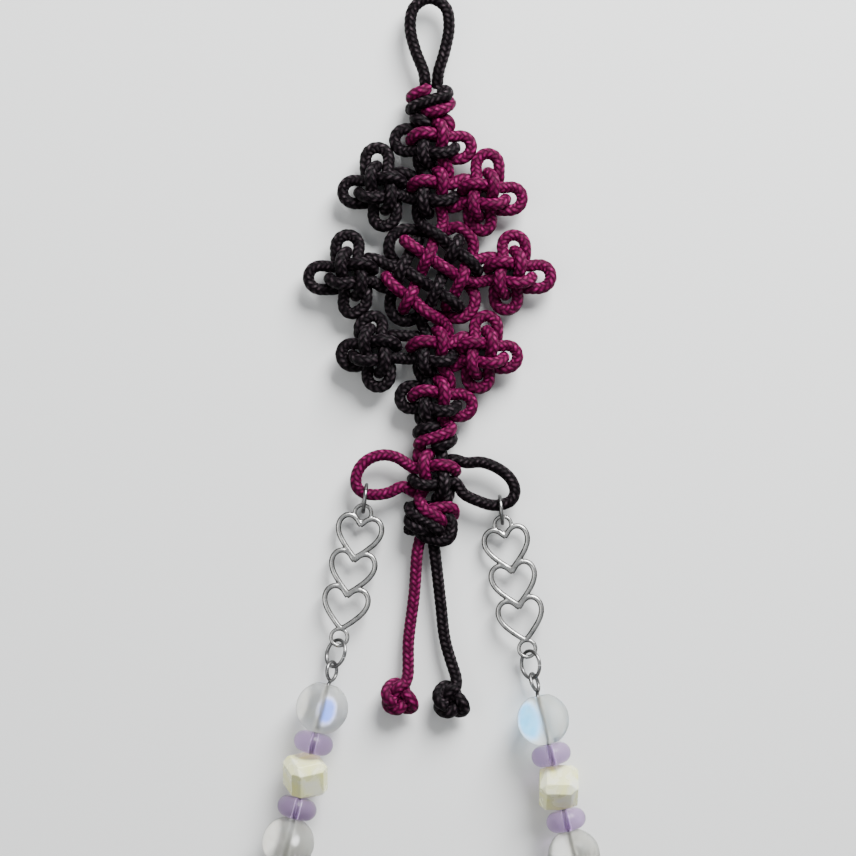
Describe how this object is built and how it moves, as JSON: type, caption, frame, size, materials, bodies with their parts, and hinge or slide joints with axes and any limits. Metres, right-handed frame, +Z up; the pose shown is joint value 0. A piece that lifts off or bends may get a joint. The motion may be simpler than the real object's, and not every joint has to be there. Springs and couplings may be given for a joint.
{
  "type": "knot keychain",
  "caption": "Braided cord knotwork with a hanging loop, a bow and tails, and two charms of open hearts and beads, lying face up on a surface.",
  "frame": {"origin": "middle of the underside of the whole keychain, on the surface it lies on", "axes": "+X to the right of the knotwork's face, +Y towards the hanging loop, +Z up from the surface"},
  "size_m": [0.0644, 0.1706, 0.0099],
  "materials": {
    "dark_cord": "soft sheen braid",
    "magenta_cord": "soft sheen braid",
    "ring_steel": "bright wire",
    "connector_silver": "antique silver casting",
    "frosted_glass": "frosted",
    "lavender_glass": "polished",
    "shell": "pearly polish"
  },
  "bodies": {
    "knotwork": {"hanging_loop": "dark_cord", "dark_cord": "dark_cord", "magenta_cord": "magenta_cord", "left_upper_ring": "ring_steel", "right_upper_ring": "ring_steel"},
    "left_connector": {"left_connector": "connector_silver", "left_lower_ring": "ring_steel"},
    "left_beads": {"left_eye_pin": "ring_steel", "left_upper_round_bead": "frosted_glass", "left_upper_flat_bead": "lavender_glass", "left_shell_bead": "shell", "left_lower_flat_bead": "lavender_glass", "left_lower_round_bead": "frosted_glass"},
    "right_connector": {"right_connector": "connector_silver", "right_lower_ring": "ring_steel"},
    "right_beads": {"right_eye_pin": "ring_steel", "right_upper_round_bead": "frosted_glass", "right_upper_flat_bead": "lavender_glass", "right_shell_bead": "shell", "right_lower_flat_bead": "lavender_glass", "right_lower_round_bead": "frosted_glass"}
  },
  "joints": [
    {"name": "left_connector_swing", "type": "hinge", "parent": "knotwork", "child": "left_connector", "pos_m": [-0.01302, -0.01381, 0.0019], "axis": [0, 0, 1], "range_deg": [-35, 6]},
    {"name": "left_beads_swing", "type": "hinge", "parent": "left_connector", "child": "left_beads", "pos_m": [-0.01889, -0.04373, 0.004], "axis": [0, 0, 1], "range_deg": [-18, 18]},
    {"name": "right_connector_swing", "type": "hinge", "parent": "knotwork", "child": "right_connector", "pos_m": [0.01372, -0.01602, 0.0019], "axis": [0, 0, 1], "range_deg": [-6, 35]},
    {"name": "right_beads_swing", "type": "hinge", "parent": "right_connector", "child": "right_beads", "pos_m": [0.01967, -0.04592, 0.004], "axis": [0, 0, 1], "range_deg": [-18, 18]}
  ]
}
